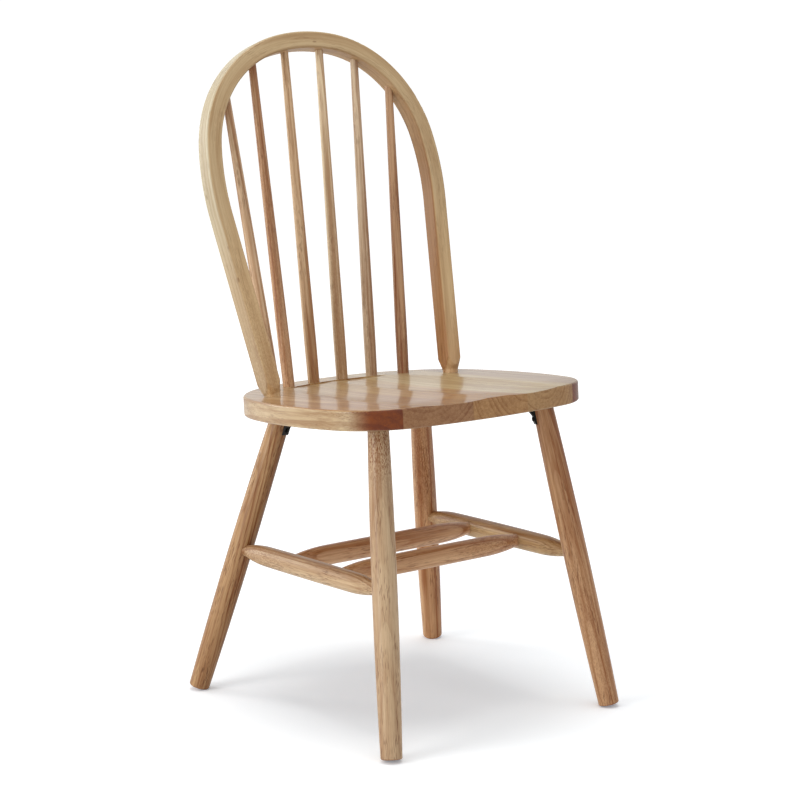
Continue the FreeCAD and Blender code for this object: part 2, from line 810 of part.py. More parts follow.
def make_cross_stretcher(doc, s, end):
    """A turned stretcher across the chair, its ends let into the side stretchers."""
    right, left = cross_stretcher_ends(s, end)
    corners = stretcher_corners(s, "cross", (left - right).Length, s.side_mid_dia / 2)
    name = "cross_stretcher_" + end
    body, _ = turned_body(doc, name, corners, along(right, (left - right).normalize()))
    return body


# Bow and spindles


def bow_path(sketch, s):
    """The left half of the centreline: top arc, shoulder arc, side arc, straight post."""
    arcs = bow_arcs(s)
    add_arc(sketch, *arcs.top_centre, s.bow_top_bend, arcs.shoulder_end, arcs.top)
    add_arc(sketch, *arcs.shoulder_centre, s.bow_shoulder_bend, arcs.side_end, arcs.shoulder_end)
    add_arc(sketch, *arcs.side_centre, s.bow_side_bend, arcs.post_end, arcs.side_end)
    sketch.addGeometry(
        Part.LineSegment(vector(*arcs.post_end, 0), vector(*arcs.tenon_end, 0))
    )
    sketch.addConstraint(Sketcher.Constraint("Tangent", 0, 1, 1, 2))
    sketch.addConstraint(Sketcher.Constraint("Tangent", 1, 1, 2, 2))
    sketch.addConstraint(Sketcher.Constraint("Tangent", 2, 1, 3, 1))
    for index, text in enumerate(["@bow_top_bend", "@bow_shoulder_bend", "@bow_side_bend"]):
        radius = [s.bow_top_bend, s.bow_shoulder_bend, s.bow_side_bend][index]
        number = sketch.addConstraint(Sketcher.Constraint("Radius", index, radius))
        bind(sketch, "Constraints[%d]" % number, text)
    hold(sketch, "DistanceX", 0, 3, 0, "")
    hold(sketch, "DistanceX", 0, 2, 0, "")
    hold(sketch, "DistanceX", 3, 2, arcs.tenon_end[0], "")
    hold(sketch, "DistanceY", 3, 2, arcs.tenon_end[1], "")
    hold(sketch, "DistanceX", 3, 1, arcs.post_end[0], "")
    hold(sketch, "DistanceY", 3, 1, arcs.post_end[1], "")
    side_turn = math.radians(s.bow_side_angle)
    sketch.addConstraint(Sketcher.Constraint("Angle", 2, side_turn))


def bow_section(sketch, s):
    """A rectangle with rounded corners, anticlockwise from its lower right side."""
    half_depth = s.bow_depth / 2
    half_face = s.bow_face / 2
    edge = s.bow_edge_round
    pinch = edge * (1 - math.sqrt(0.5))
    depth_text = "@bow_depth / 2"
    face_text = "@bow_face / 2"
    corners = []
    for across, up in [(1, -1), (1, 1), (-1, 1), (-1, -1)]:
        level = Corner(
            across * (half_depth - edge),
            up * half_face,
            x_size="%d * (%s - @bow_edge_round)" % (across, depth_text),
            y_size="%d * %s" % (up, face_text),
        )
        upright = Corner(
            across * half_depth,
            up * (half_face - edge),
            x_size="%d * %s" % (across, depth_text),
            y_size="%d * (%s - @bow_edge_round)" % (up, face_text),
        )
        pair = [level, upright] if across * up < 0 else [upright, level]
        pair[0].through = (across * (half_depth - pinch), up * (half_face - pinch))
        corners += pair
    closed_outline(sketch, corners)


def make_bow(doc, s):
    """One bent rod, bored for the spindles, its two ends shaved round for the seat."""
    arcs = bow_arcs(s)
    body = doc.addObject("PartDesign::Body", "bow_bent")
    path = new_sketch(body, "bow_centreline", "XZ_Plane")
    bow_path(path, s)
    lift = FreeCAD.Placement(vector(0, arcs.top[1], 0), FreeCAD.Rotation())
    section = new_sketch(body, "bow_section", "YZ_Plane", lift)
    bow_section(section, s)
    half = body.newObject("PartDesign::AdditivePipe", "bow_half")
    half.Profile = section
    half.Spine = (path, ["Edge1", "Edge2", "Edge3", "Edge4"])
    doc.recompute()
    lean = FreeCAD.Rotation(vector(0, 0, 1), -s.bow_lean_angle)
    foot = FreeCAD.Placement(vector(s.bow_foot_x, 0, 0), lean)
    shave = new_sketch(body, "bow_shaving", "XZ_Plane", foot)
    tenon = s.bow_tenon_dia / 2
    wide = s.bow_shave_dia / 2
    low = -s.bow_socket_depth - s.cutter_overrun
    show = s.bow_tenon_show
    low_text = "-@bow_socket_depth - @cutter_overrun"
    clear = wide + s.cutter_overrun
    clear_text = "@bow_shave_dia / 2 + @cutter_overrun"
    high_text = "@bow_tenon_show + @bow_shave"
    closed_outline(
        shave,
        [
            Corner(tenon, low, "@bow_tenon_dia / 2", low_text),
            Corner(clear, low, clear_text, low_text),
            Corner(clear, show + s.bow_shave, clear_text, high_text),
            Corner(wide, show + s.bow_shave, "@bow_shave_dia / 2", high_text),
            Corner(tenon, show, "@bow_tenon_dia / 2", "@bow_tenon_show"),
        ],
    )
    groove = body.newObject("PartDesign::Groove", "bow_shaved")
    groove.Profile = shave
    groove.ReferenceAxis = (shave, ["V_Axis"])
    groove.Angle = 360
    doc.recompute()
    both = body.newObject("PartDesign::Mirrored", "bow_both_halves")
    both.Originals = [half, groove]
    both.MirrorPlane = (origin_plane(body, "YZ_Plane"), [""])
    body.Tip = both
    body.Placement = bow_placement(s)
    cutters = []
    for side in SIDES:
        for place in SPINDLES:
            _, top, up = spindle_line(s, place, side)
            radius = "@spindle_top_dia / 2 + @socket_clearance"
            length = "@bow_depth + @cutter_overrun"
            name = "bow_hole_%s_%s" % (place, side)
            cutters.append(round_cutter(doc, name, top, up * -1, radius, length))
    return cut_away(doc, "bow", body, cutters)


def make_spindle(doc, s, number, place, side):
    """A straight turned spindle, fullest near the seat and slimmer all the way up."""
    foot, top, up = spindle_line(s, place, side)
    length = (top - foot).Length
    root = s.spindle_foot_dia / 2
    shoulder = s.spindle_shoulder_dia / 2
    tip = s.spindle_top_dia / 2
    belly = (s.spindle_belly_dia / 2, s.spindle_belly_rise)
    low = -s.spindle_socket_depth
    corners = [
        Corner(0, low, y_size="-@spindle_socket_depth"),
        Corner(root, low, "@spindle_foot_dia / 2", "-@spindle_socket_depth"),
        Corner(root, s.neck_straight, "@spindle_foot_dia / 2", "@neck_straight", through=belly),
        Corner(shoulder, s.spindle_shoulder_rise, "@spindle_shoulder_dia / 2", "@spindle_shoulder_rise"),
        Corner(tip, length - s.spindle_top_straight, "@spindle_top_dia / 2"),
        Corner(tip, length, "@spindle_top_dia / 2"),
        Corner(0, length),
    ]
    body, _ = turned_body(doc, "spindle_%d" % number, corners, along(foot, up))
    return body


# Brackets and screws


def bracket_outline(s, slope, leg_face, tip):
    """A bracket's side view: down the leg, round the end, and in a hollow sweep to the tip.

    The leg's surface is at x = leg_face; the seat's underside climbs by slope per unit of x.
    """
    plate = s.bracket_plate
    drop = s.bracket_drop
    heel = leg_face - plate
    foot = leg_face + plate
    pinch = plate * (1 - math.sqrt(0.5))
    waist = (leg_face + s.bracket_waist, -s.bracket_waist_drop)
    return [
        Corner(heel, slope * heel + plate),
        Corner(heel, -drop),
        Corner(leg_face, -drop, through=(foot - pinch, -drop + pinch)),
        Corner(foot, -drop + plate),
        Corner(foot, -drop + s.bracket_end_straight, through=waist),
        Corner(tip, slope * tip - plate),
        Corner(tip, slope * tip + plate),
    ]


def bracket_channel(s, slope, leg_face, tip):
    """The side view of the room between the webs, inside the plate and the flange."""
    near = leg_face + s.bracket_plate
    far = tip + s.cutter_overrun
    low = -s.bracket_drop - s.cutter_overrun
    return [
        Corner(near, slope * near - s.bracket_plate),
        Corner(near, low),
        Corner(far, low),
        Corner(far, slope * far - s.bracket_plate),
    ]


def make_bracket(doc, s, end, side):
    """A pressed steel angle: a flange under the seat, a plate down the leg, and two webs."""
    name = "bracket_%s_%s" % (end, side)
    slope = flange_slope(s, end, side)
    leg_face = bracket_leg_face(s, end, side)
    tip = leg_face + seat_screw_reach(s, end, side) + s.bracket_beyond_screw
    body = doc.addObject("PartDesign::Body", name + "_pressed")
    profile = new_sketch(body, name + "_side_view", "XZ_Plane")
    closed_outline(profile, bracket_outline(s, slope, leg_face, tip))
    pad = body.newObject("PartDesign::Pad", name + "_blank")
    pad.Profile = profile
    bind(pad, "Length", "@bracket_width")
    pad.Midplane = True
    inside = new_sketch(body, name + "_inside", "XZ_Plane")
    closed_outline(inside, bracket_channel(s, slope, leg_face, tip))
    pocket = body.newObject("PartDesign::Pocket", name + "_channel")
    pocket.Profile = inside
    bind(pocket, "Length", "@bracket_width - 2 * @bracket_web")
    pocket.Midplane = True
    body.Placement = bracket_placement(s, end, side)
    return cut_away(doc, name, body, bracket_cutters(doc, s, name, end, side))


def bracket_cutters(doc, s, name, end, side):
    """What the bracket gives way to: the seat, the leg, and its two screws."""
    frame = bracket_placement(s, end, side)
    room = s.bracket_drop + s.leg_top_dia
    seat_room = doc.addObject("Part::Box", name + "_seat_room")
    bind(seat_room, "Length", "2 * (@bracket_drop + @leg_top_dia)")
    bind(seat_room, "Width", "2 * (@bracket_drop + @leg_top_dia)")
    bind(seat_room, "Height", "@seat_thickness")
    level = FreeCAD.Placement(frame.Base, seat_placement(s).Rotation)
    corner = FreeCAD.Placement(vector(-room, -room, 0), FreeCAD.Rotation())
    seat_room.Placement = level.multiply(corner)
    low = s.bracket_drop + s.cutter_overrun
    leg_room = doc.addObject("Part::Cone", name + "_leg_room")
    leg_room.Radius1 = leg_radius_below_seat(s, end, side, low) + s.socket_clearance
    leg_room.Radius2 = leg_radius_below_seat(s, end, side, 0) + s.socket_clearance
    bind(leg_room, "Height", "@bracket_drop + @cutter_overrun")
    sink = FreeCAD.Placement(vector(0, 0, -low), FreeCAD.Rotation())
    leg_room.Placement = frame.multiply(sink)
    neck_radius = "@leg_top_dia / 2 + @socket_clearance"
    up = frame.Rotation.multVec(vector(0, 0, 1))
    neck_start = frame.Base - up * s.leg_straight_end
    neck_length = "@leg_straight_end + @leg_socket_depth"
    neck_room = round_cutter(doc, name + "_neck_room", neck_start, up, neck_radius, neck_length)
    cutters = [seat_room, leg_room, neck_room]
    for which, (head, out) in zip(("leg", "seat"), screw_places(s, end, side)):
        hole_name = "%s_%s_hole" % (name, which)
        cutters.append(screw_hole(doc, s, hole_name, head, out))
    return cutters


def make_screws(doc, s):
    """Eight pan-head wood screws: two in each bracket."""
    head = s.screw_head_dia / 2
    shank = s.screw_shank_dia / 2
    rim = s.screw_head_rise / 2
    crown = s.screw_head_rise - rim
    ball = (head ** 2 + crown ** 2) / (2 * crown)
    halfway = math.asin(head / ball) / 2
    dome = (ball * math.sin(halfway), s.screw_head_rise - ball * (1 - math.cos(halfway)))
    corners = [
        Corner(0, -s.screw_length, y_size="-@screw_length"),
        Corner(shank, s.screw_point - s.screw_length, "@screw_shank_dia / 2"),
        Corner(shank, 0, "@screw_shank_dia / 2"),
        Corner(head, 0, "@screw_head_dia / 2"),
        Corner(head, rim, "@screw_head_dia / 2", "@screw_head_rise / 2", through=dome),
        Corner(0, s.screw_head_rise, y_size="@screw_head_rise"),
    ]
    body, _ = turned_body(doc, "screw", corners, FreeCAD.Placement())
    top = FreeCAD.Placement(vector(0, 0, s.screw_head_rise), FreeCAD.Rotation())
    cross = new_sketch(body, "screw_cross", "XY_Plane", top)
    arm = s.screw_cross_length / 2
    thin = s.screw_cross_width / 2
    arm_text = "@screw_cross_length / 2"
    thin_text = "@screw_cross_width / 2"
    corners = []
    for turn in range(4):
        cos = [1, 0, -1, 0][turn]
        sin = [0, 1, 0, -1][turn]
        for along_arm, across, along_text, across_text in [
            (arm, -thin, arm_text, "-" + thin_text),
            (arm, thin, arm_text, thin_text),
            (thin, thin, thin_text, thin_text),
        ]:
            corners.append(
                Corner(
                    cos * along_arm - sin * across,
                    sin * along_arm + cos * across,
                    "%d * %s - %d * (%s)" % (cos, along_text, sin, across_text),
                    "%d * %s + %d * (%s)" % (sin, along_text, cos, across_text),
                )
            )
    closed_outline(cross, corners)
    recess = body.newObject("PartDesign::Pocket", "screw_recess")
    recess.Profile = cross
    bind(recess, "Length", "@screw_cross_depth")
    doc.recompute()
    screws = []
    for end in ("front", "back"):
        for side in SIDES:
            for which, (start, out) in zip(("leg", "seat"), screw_places(s, end, side)):
                screw = doc.addObject("App::Link", "screw_%s_%s_%s" % (which, end, side))
                screw.LinkedObject = body
                screw.Placement = along(start, out)
                screws.append(screw)
    group = doc.addObject("Part::Compound", "bracket_screws")
    group.Links = screws
    return group


# The whole chair


def make_chair(doc, s):
    pieces = make_seat(doc, s)
    for end in ("front", "back"):
        for side in SIDES:
            pieces.append(make_leg(doc, s, end, side))
            pieces.append(make_bracket(doc, s, end, side))
        pieces.append(make_cross_stretcher(doc, s, end))
    for side in SIDES:
        pieces.append(make_side_stretcher(doc, s, side))
    pieces.append(make_bow(doc, s))
    row = [(place, "right") for place in SPINDLES]
    row += [(place, "left") for place in reversed(SPINDLES)]
    for number, (place, side) in enumerate(row, start=1):
        pieces.append(make_spindle(doc, s, number, place, side))
    pieces.append(make_screws(doc, s))
    return pieces


def check_document(doc, pieces):
    """Stop before anything is written if a feature failed or a piece isn't a sound solid."""
    for thing in doc.Objects:
        for word in ("Invalid", "Error"):
            if word in thing.State:
                raise RuntimeError("%s is %s" % (thing.Label, word))
    for piece in pieces:
        if piece.Shape.isNull() or not piece.Shape.isValid():
            raise RuntimeError("%s has no valid shape" % piece.Label)


def main():
    os.makedirs("parts", exist_ok=True)
    doc = FreeCAD.newDocument("chair")
    s = read_sheet(make_sheet(doc))
    pieces = make_chair(doc, s)
    doc.recompute()
    check_document(doc, pieces)
    for piece in pieces:
        piece.Shape.exportStep("parts/%s.step" % piece.Label)


main()
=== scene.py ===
import math
from dataclasses import dataclass

import bpy
import numpy as np
from mathutils import Euler, Matrix, Vector


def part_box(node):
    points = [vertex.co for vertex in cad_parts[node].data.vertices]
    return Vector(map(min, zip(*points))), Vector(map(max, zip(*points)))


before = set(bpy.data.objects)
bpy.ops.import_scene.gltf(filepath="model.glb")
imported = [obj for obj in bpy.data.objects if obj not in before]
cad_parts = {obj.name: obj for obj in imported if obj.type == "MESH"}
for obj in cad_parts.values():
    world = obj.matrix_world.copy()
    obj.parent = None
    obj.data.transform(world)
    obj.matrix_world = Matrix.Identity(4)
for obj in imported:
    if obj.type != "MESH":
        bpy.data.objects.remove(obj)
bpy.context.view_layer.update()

# The chair stands on the floor at the origin and faces -Y; metres throughout.
# Right and left are the sitter's: right is -X, left is +X.

# Camera: where it stands, and how it looks at the chair, at the photograph's angle
CAMERA_PLACE = (-2.1001, -2.6820, 1.0735)
CAMERA_AZIMUTH = -38.08
CAMERA_ELEVATION = 10.70
CAMERA_REACH = 100
PICTURE_PIXELS = 800
FOCAL_PIXELS = 2454
SENSOR = 36.0

# Light from all around, and the white that the camera sees there
WHITE = (1, 1, 1, 1)
SKY_STRENGTH = 0.58
SEEN_STRENGTH = 1.0

# Soft lamps: place, aim, width, height and watts
LAMPS = {
    "top": ((0, 0, 3.0), (0, 0, 0), 1.5, 1.5, 29.0),
    "key": ((-2.9, 0.2, 1.3), (0, 0, 0.8), 1.2, 2.4, 42.0),
    "rim": ((-1.4, 2.6, 1.1), (0, 0, 0.6), 0.8, 1.6, 16.0),
}

# Floor: pale to the chair's light and nearly white to the camera, for which it also glows.
# The glow grows with the distance from the chair, in two steps: weak and bluish under the chair, a
# painted shadow that deepens and cools the cast one, then full far off, where the floor ends in white.
FLOOR_HALF = 60.0
FLOOR_LIT = (0.85, 0.85, 0.85, 1)
FLOOR_SEEN = (0.99, 0.99, 0.99, 1)
PAINTED_SHADOW_GLOW = (0.0, 0.03, 0.065, 1)
GLOW_BESIDE = (0.16, 0.19, 0.215, 1)
GLOW_FAR = (0.5, 0.5, 0.5, 1)
PAINTED_SHADOW_REACH = (0.05, 0.36)
FAR_REACH = (0.4, 2.2)

# The bow's centreline, drawn in its own leaning plane
BOW_RAKE = math.radians(17.2)
BOW_FOOT = Vector((0.0, 0.08206, 0.44146))
BOW_FOOT_HALF = 0.1605
BOW_LEAN = math.radians(6.73)
BOW_POST = 0.2596
BOW_SIDE_BEND = 0.3573
BOW_SIDE_TURN = math.radians(16.03)
BOW_SHOULDER_BEND = 0.1739
BOW_TOP_BEND = 0.2559

# Distances along the bow from the middle of its top, where a change of tone starts and is full
POST_ZONE = (0.30, 0.50)
POST_INNER_ZONE = (0.18, 0.34)
FOOT_FRONT_ZONE = (0.49, 0.62)
FOOT_INNER_ZONE = (0.42, 0.56)

# Distances off the bow's centreline, where its outer and inner faces start and are full
BOW_FACE_START = 0.0100
BOW_FACE_FULL = 0.0122

# The seat slopes down to the back, and its top turns down softly in front of the fall's start
SEAT_SLOPE = math.radians(4.8)
FALL_START = -0.120
FALL_BEND = 5.0

# The seat top's painted shade, which damps its white sheen: how squarely a surface faces up, and from
# which Y to which Y it grows
SHADE_FACING = (0.3, 0.8)
SHADE_REACH = (0.19, -0.16)

# The level direction away from the photograph's eye
AWAY = (0.617, 0.787, 0.0)

# A slim piece's axis runs up, or else to the back, or else to the left
FORWARD = np.array((0.1, 0.3, 1.0))


@dataclass
class Texture:
    """A noise drawn out along the grain: repeats in a metre across and along it."""

    across: float
    along: float
    detail: float = 2.0
    roughness: float = 0.5


# The wood's textures, from the widest to the finest
DRIFT = Texture(9.0, 2.6)
PATCHES = Texture(45.0, 6.0)
PORE_GROUPS = Texture(60.0, 12.0, detail=1.0)
KNOTS = Texture(60.0, 22.0)
RIPPLE = Texture(70.0, 16.0, detail=1.0)
STREAKS = Texture(230.0, 5.0, detail=3.0, roughness=0.6)
COARSE_PORES = Texture(520.0, 62.0, detail=1.0)
FIBRE = Texture(600.0, 14.0, detail=3.0, roughness=0.6)
FLECKS = Texture(900.0, 260.0, roughness=0.6)
FINE_PORES = Texture(1100.0, 80.0, detail=0.0)

# The value that a noise swings around
NOISE_MIDDLE = 0.5

# A colour mix's sockets: the share and the two colours, and the colour that comes out
MIX_SOCKETS = (0, 6, 7)
MIXED = 2

# Where each texture's value turns into a mark: its edges, then what it gives there
FINE_PORE_EDGES = (0.6, 0.72)
COARSE_PORE_EDGES = (0.58, 0.7)
PORE_GROUP_EDGES = (0.42, 0.62, 0.15, 1.0)
FLECK_EDGES = (0.44, 0.60)
KNOT_EDGES = (0.11, 0.05)
KNOT_CHANCE = 0.6

# Yearly rings: how far ripples push them, how their width and depth of tone change from year to
# year, and at which shares of a year the dark late wood starts, is full, goes and is gone
RING_RIPPLE = 0.0015
RING_UNEVENNESS = 1.8
RING_WIDTH_CHANGE = 0.37
RING_TONE_CHANGE = 3.7
RING_TONE_EDGES = (0.35, 0.65, 0.2, 1.0)
LATE_WOOD_COMES = (0.3, 0.9)
LATE_WOOD_GOES = (0.92, 1.0, 1.0, 0.0)

# The tone between a wood's light and dark: where it starts, and what each texture adds
BASE_TONE = 0.3
STREAK_TONE = 2.6
PATCH_TONE = 2.2
FIBRE_TONE = 1.0
CENTIMETRES = 100.0

# Pores and flecks: their colour as shares of the dark wood's, and how much pores cover
PORE_SHADE = (0.48, 0.38, 0.31)
PORE_COVER = 0.75
FLECK_SHADE = (0.70, 0.50, 0.36)

# The grain's height: pores sink in and fibres stand up
PORE_DEPTH = -0.8
FIBRE_HEIGHT = 0.35
GRAIN_BUMP = {"Strength": 0.12, "Distance": 0.0004}

# How far apart the woods of two seeds lie
SEED_STEP = (3.1, 1.7, 7.3)

# How far the light and dark shades of a wood lie from its middle, in red, green and blue
LIGHTER = (0.45, 0.5, 0.5)
DARKER = (0.8, 1.05, 1.05)

# Surfaces: satin lacquer over wood, and black coated steel with its fine grit
LACQUER = {"Roughness": 0.4, "Coat Roughness": 0.13, "IOR": 1.45, "Specular IOR Level": 0.3}
STEEL = {"Roughness": 0.42, "Specular IOR Level": 0.12}
STEEL_SHADES = ((10, 10, 10), (26, 25, 24))
STEEL_BUMP = {"Strength": 0.2, "Distance": 0.0002}
GRIT = Texture(1500.0, 1500.0)


def linear(red, green, blue):
    """A colour written in screen values from 0 to 255, as the shader takes it."""

    def one(value):
        """The usual screen curve, undone."""
        share = value / 255
        if share <= 0.04045:
            return share / 12.92
        return ((share + 0.055) / 1.055) ** 2.4

    return one(red), one(green), one(blue), 1.0


def shades(red, green, blue, spread):
    """The light and dark wood colours either side of one that the eye sees from afar."""
    middle = (red, green, blue)
    light = linear(*(value + spread * share for value, share in zip(middle, LIGHTER)))
    dark = linear(*(value - spread * share for value, share in zip(middle, DARKER)))
    return light, dark


def shaded(colour, shade):
    """A colour with its red, green and blue brought down to the given shares."""
    return tuple(value * share for value, share in zip(colour, shade)) + (1.0,)


class Nodes:
    """The shader nodes of a material or world, with short names for the kinds used here."""

    def __init__(self, owner):
        owner.use_nodes = True
        self.owner = owner
        self.tree = owner.node_tree
        self.tree.nodes.clear()

    def plug(self, value, socket):
        """Link another node's output to a socket, or set the socket to a plain value."""
        if isinstance(value, bpy.types.NodeSocket):
            self.tree.links.new(value, socket)
        else:
            socket.default_value = value

    def add(self, kind, inputs=None, **settings):
        node = self.tree.nodes.new(kind)
        for key, value in settings.items():
            setattr(node, key, value)
        for key, value in (inputs or {}).items():
            self.plug(value, node.inputs[key])
        return node

    def math(self, kind, *values):
        return self.add("ShaderNodeMath", dict(enumerate(values)), operation=kind).outputs[0]

    def vector(self, kind, *values):
        node = self.add("ShaderNodeVectorMath", dict(enumerate(values)), operation=kind)
        return node.outputs["Value" if kind in ("LENGTH", "DOT_PRODUCT") else "Vector"]

    def split(self, vector):
        return self.add("ShaderNodeSeparateXYZ", {0: vector}).outputs[:]

    def joined(self, x, y, z):
        return self.add("ShaderNodeCombineXYZ", {0: x, 1: y, 2: z}).outputs[0]

    def drawn_out(self, place, texture):
        return self.vector("MULTIPLY", place, (texture.across, texture.across, texture.along))

    def noise(self, place, texture):
        inputs = {
            "Vector": self.drawn_out(place, texture),
            "Scale": 1.0,
            "Detail": texture.detail,
            "Roughness": texture.roughness,
        }
        return self.add("ShaderNodeTexNoise", inputs).outputs

    def centred_noise(self, place, texture):
        """A noise in three parts, each around 0."""
        middle = (NOISE_MIDDLE, NOISE_MIDDLE, NOISE_MIDDLE)
        return self.vector("SUBTRACT", self.noise(place, texture)["Color"], middle)

    def noise_along(self, value, detail=2.0):
        inputs = {"W": value, "Scale": 1.0, "Detail": detail}
        return self.add("ShaderNodeTexNoise", inputs, noise_dimensions="1D").outputs["Fac"]

    def ease(self, value, low, high, out_low=0.0, out_high=1.0):
        inputs = {
            "Value": value, "From Min": low, "From Max": high, "To Min": out_low, "To Max": out_high
        }
        node = self.add("ShaderNodeMapRange", inputs, interpolation_type="SMOOTHSTEP")
        return node.outputs["Result"]

    def chosen(self, share, first, second):
        """The first number where share is 0 and the second where it is 1."""
        return self.math("MULTIPLY_ADD", self.math("SUBTRACT", second, first), share, first)

    def mix(self, share, first, second, blend="MIX"):
        node = self.add("ShaderNodeMix", data_type="RGBA", blend_type=blend)
        for socket, value in zip(MIX_SOCKETS, (share, first, second)):
            self.plug(value, node.inputs[socket])
        return node.outputs[MIXED]

    def tinted(self, share, colour, tint):
        """A colour multiplied by a tint where share is 1."""
        return self.mix(share, colour, self.mix(1.0, colour, tint, "MULTIPLY"))

    def seen(self):
        """1 for what the camera sees, straight, in a gloss or through glass, and 0 for the rest."""
        rays = self.add("ShaderNodeLightPath").outputs
        seen = rays["Is Camera Ray"]
        for kind in ("Is Glossy Ray", "Is Transmission Ray"):
            seen = self.math("MAXIMUM", seen, rays[kind])
        return seen

    def finish(self, shader, kind="ShaderNodeOutputMaterial"):
        self.add(kind, {"Surface": shader})
        return self.owner


def new_material(name):
    return Nodes(bpy.data.materials.new(name))


@dataclass
class Wood:
    """How one piece of wood looks: its colours, and how it was sawn from the trunk.

    light, dark: the two colours that the tone runs between
    seed: which part of the textures the piece shows
    pith, tilt: where the trunk's heart lies beside the piece's middle, and its lean along the grain
    ring, wander: the width of a year's ring, and how far the rings stray from round
    rings, streaks, patches, pores: how strong each is
    painted_side_shade, darker_foot: tone added for each centimetre across, a painted shade that darkens
    one side as the light falls across the piece, and for each metre down
    end_tint, end_turn: the tint of end grain, and how squarely the surface meets the grain there
    back_tint: the tint at the end that faces along the grain, where it differs
    front_painted_shade: the tint of a seat board's top towards the front, a painted shade that damps
    its sheen
    flecks, fleck_zone: how strong they are, and where along the grain they start and are full
    knots: how strong the pin knots are
    gloss: how much lacquer shows
    """

    light: tuple
    dark: tuple
    seed: float
    pith: tuple = (0.01, 0.05)
    tilt: tuple = (0.0, 0.0)
    ring: float = 0.005
    wander: float = 0.014
    rings: float = 0.5
    streaks: float = 0.5
    patches: float = 0.5
    pores: float = 0.5
    painted_side_shade: float = 0.0
    darker_foot: float = 0.0
    end_tint: tuple = (0.84, 0.62, 0.48)
    end_turn: tuple = (0.25, 0.9)
    back_tint: tuple = None
    front_painted_shade: tuple = None
    flecks: float = 0.0
    fleck_zone: tuple = (0.0, 0.1)
    knots: float = 0.0
    gloss: float = 0.2


def growth_rings(n, place, look):
    """Dark late wood at the outer side of each yearly ring, fading in and ending sharply."""
    drift = n.centred_noise(place, DRIFT)
    ripple = n.centred_noise(place, RIPPLE)
    spot = n.vector("MULTIPLY_ADD", drift, (look.wander, look.wander, 0.0), place)
    spot = n.vector("MULTIPLY_ADD", ripple, (RING_RIPPLE, RING_RIPPLE, 0.0), spot)
    x, y, z = n.split(spot)
    shift_x = look.seed * SEED_STEP[0] + look.pith[0]
    shift_y = look.seed * SEED_STEP[1] + look.pith[1]
    z = n.math("SUBTRACT", z, look.seed * SEED_STEP[2])
    x = n.math("MULTIPLY_ADD", z, look.tilt[0], n.math("SUBTRACT", x, shift_x))
    y = n.math("MULTIPLY_ADD", z, look.tilt[1], n.math("SUBTRACT", y, shift_y))
    count = n.math("DIVIDE", n.vector("LENGTH", n.joined(x, y, 0.0)), look.ring)
    uneven = n.noise_along(n.math("MULTIPLY_ADD", count, RING_WIDTH_CHANGE, look.seed), detail=1.0)
    count = n.math("MULTIPLY_ADD", uneven, RING_UNEVENNESS, count)
    within = n.math("FRACT", count)
    line = n.math("MULTIPLY", n.ease(within, *LATE_WOOD_COMES), n.ease(within, *LATE_WOOD_GOES))
    year = n.math("MULTIPLY_ADD", n.math("FLOOR", count), RING_TONE_CHANGE, look.seed)
    return n.math("MULTIPLY", line, n.ease(n.noise_along(year), *RING_TONE_EDGES))


def pore_dashes(n, place):
    """Short dark dashes of two sizes, in loose groups."""
    fine = n.ease(n.noise(place, FINE_PORES)["Fac"], *FINE_PORE_EDGES)
    coarse = n.ease(n.noise(place, COARSE_PORES)["Fac"], *COARSE_PORE_EDGES)
    groups = n.ease(n.noise(place, PORE_GROUPS)["Fac"], *PORE_GROUP_EDGES)
    return n.math("MULTIPLY", n.math("MAXIMUM", fine, coarse), groups)


def fleck_spots(n, place, along, zone):
    """Fine dark spots that thicken along the grain."""
    spots = n.ease(n.noise(place, FLECKS)["Fac"], *FLECK_EDGES)
    return n.math("MULTIPLY", spots, n.ease(along, *zone))


def pin_knots(n, place):
    """Small round knots, one in some of the cells that the wood is split into."""
    cell = n.add("ShaderNodeTexVoronoi", {"Vector": n.drawn_out(place, KNOTS), "Scale": 1.0}).outputs
    chance = n.math("GREATER_THAN", n.split(cell["Color"])[0], KNOT_CHANCE)
    return n.math("MULTIPLY", n.ease(cell["Distance"], *KNOT_EDGES), chance)


def wood_colour(n, place, look):
    """The wood's colour and the height of its grain, where place runs along the grain in Z."""
    across, _, along = n.split(place)
    place = n.vector("ADD", place, tuple(look.seed * step for step in SEED_STEP))
    fibre = n.noise(place, FIBRE)["Fac"]
    dashes = pore_dashes(n, place)
    tone = n.math("MULTIPLY", growth_rings(n, place, look), look.rings)
    parts = (
        (n.noise(place, STREAKS)["Fac"], STREAK_TONE * look.streaks),
        (n.noise(place, PATCHES)["Fac"], PATCH_TONE * look.patches),
        (fibre, FIBRE_TONE),
    )
    for part, weight in parts:
        tone = n.math("MULTIPLY_ADD", n.math("SUBTRACT", part, NOISE_MIDDLE), weight, tone)
    # Painted shade: the tone grows towards one side of the piece, as the light falls across it
    tone = n.math("MULTIPLY_ADD", across, CENTIMETRES * look.painted_side_shade, tone)
    tone = n.math("MULTIPLY_ADD", along, -look.darker_foot, tone)
    tone = n.add("ShaderNodeClamp", {0: n.math("ADD", tone, BASE_TONE)}).outputs[0]
    colour = n.mix(tone, look.light, look.dark)
    pore_colour = shaded(look.dark, PORE_SHADE)
    colour = n.mix(n.math("MULTIPLY", dashes, PORE_COVER * look.pores), colour, pore_colour)
    if look.flecks:
        spots = fleck_spots(n, place, along, look.fleck_zone)
        fleck_colour = shaded(look.dark, FLECK_SHADE)
        colour = n.mix(n.math("MULTIPLY", spots, look.flecks), colour, fleck_colour)
    if look.knots:
        colour = n.mix(n.math("MULTIPLY", pin_knots(n, place), look.knots), colour, pore_colour)
    height = n.math("MULTIPLY_ADD", dashes, PORE_DEPTH, n.math("MULTIPLY", fibre, FIBRE_HEIGHT))
    return colour, height


